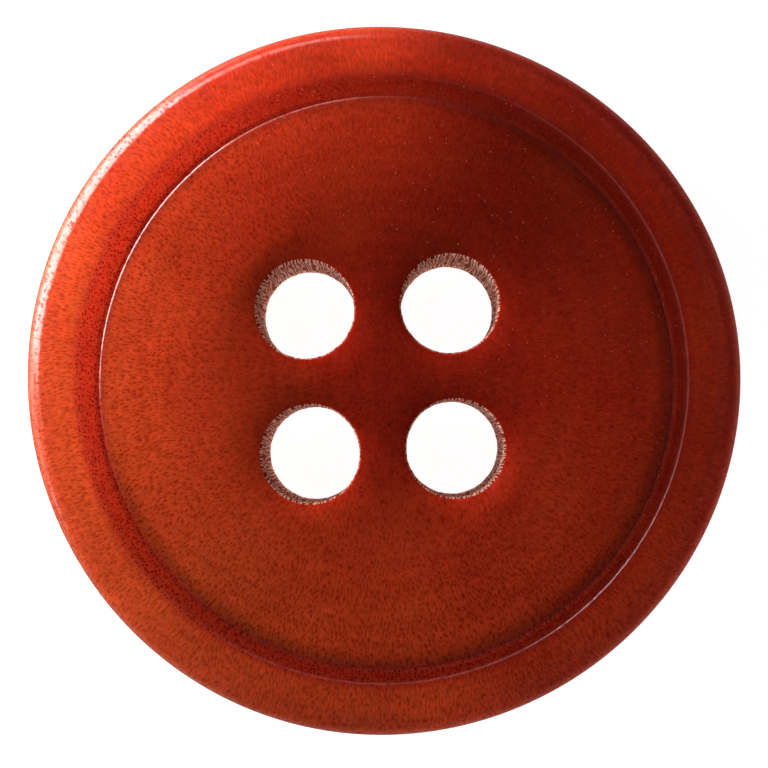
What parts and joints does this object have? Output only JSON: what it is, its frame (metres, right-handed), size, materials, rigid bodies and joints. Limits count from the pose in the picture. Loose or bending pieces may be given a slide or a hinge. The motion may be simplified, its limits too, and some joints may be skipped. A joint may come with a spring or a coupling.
{
  "type": "four-hole sew-through button",
  "caption": "Round sew-through button turned from dyed palm nut, with a raised rim, a fine groove, a shallow dished face and thread holes on a square.",
  "frame": {"origin": "middle of the flat land on the back, where the turning axis meets the cloth", "axes": "+Z along the turning axis, out of the front face; the thread holes stand on a square along X and Y"},
  "size_m": [0.015, 0.015, 0.0029],
  "materials": {
    "dyed_nut": "polished vegetable ivory, dyed red-brown, with fine dark cell flecks"
  },
  "bodies": {
    "root": {"button": "dyed_nut"}
  },
  "joints": []
}
